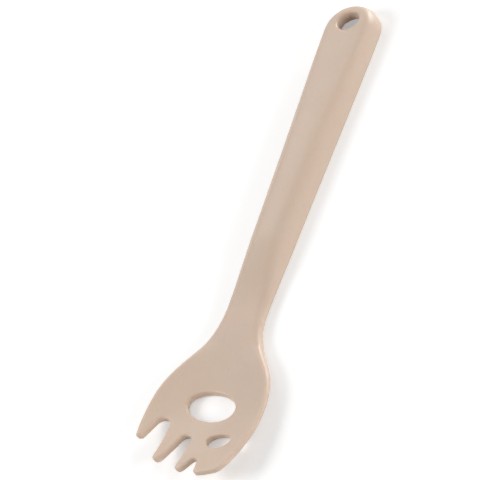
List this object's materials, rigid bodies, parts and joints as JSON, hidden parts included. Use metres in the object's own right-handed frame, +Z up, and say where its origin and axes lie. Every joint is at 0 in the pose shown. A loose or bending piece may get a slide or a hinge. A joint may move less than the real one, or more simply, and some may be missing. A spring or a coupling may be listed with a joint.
{
  "type": "spork",
  "caption": "Moulded bamboo-fibre serving spork: shallow bowl with oval drain holes, round-tipped tines beside a blunt spoon edge, and a tapered handle with a hanging eye.",
  "frame": {"origin": "under the middle of the length, on the plane it lies on", "axes": "+Y along the handle towards the hanging eye, +Z up out of the bowl, +X towards the blunt spoon edge"},
  "size_m": [0.0584, 0.264, 0.0132],
  "materials": {
    "moulding": "satin beige bamboo-fibre composite"
  },
  "bodies": {
    "root": {"bowl": "moulding", "tine_1": "moulding", "tine_2": "moulding", "tine_3": "moulding", "spoon_edge": "moulding", "neck": "moulding", "handle": "moulding", "hanging_eye": "moulding"}
  },
  "joints": []
}
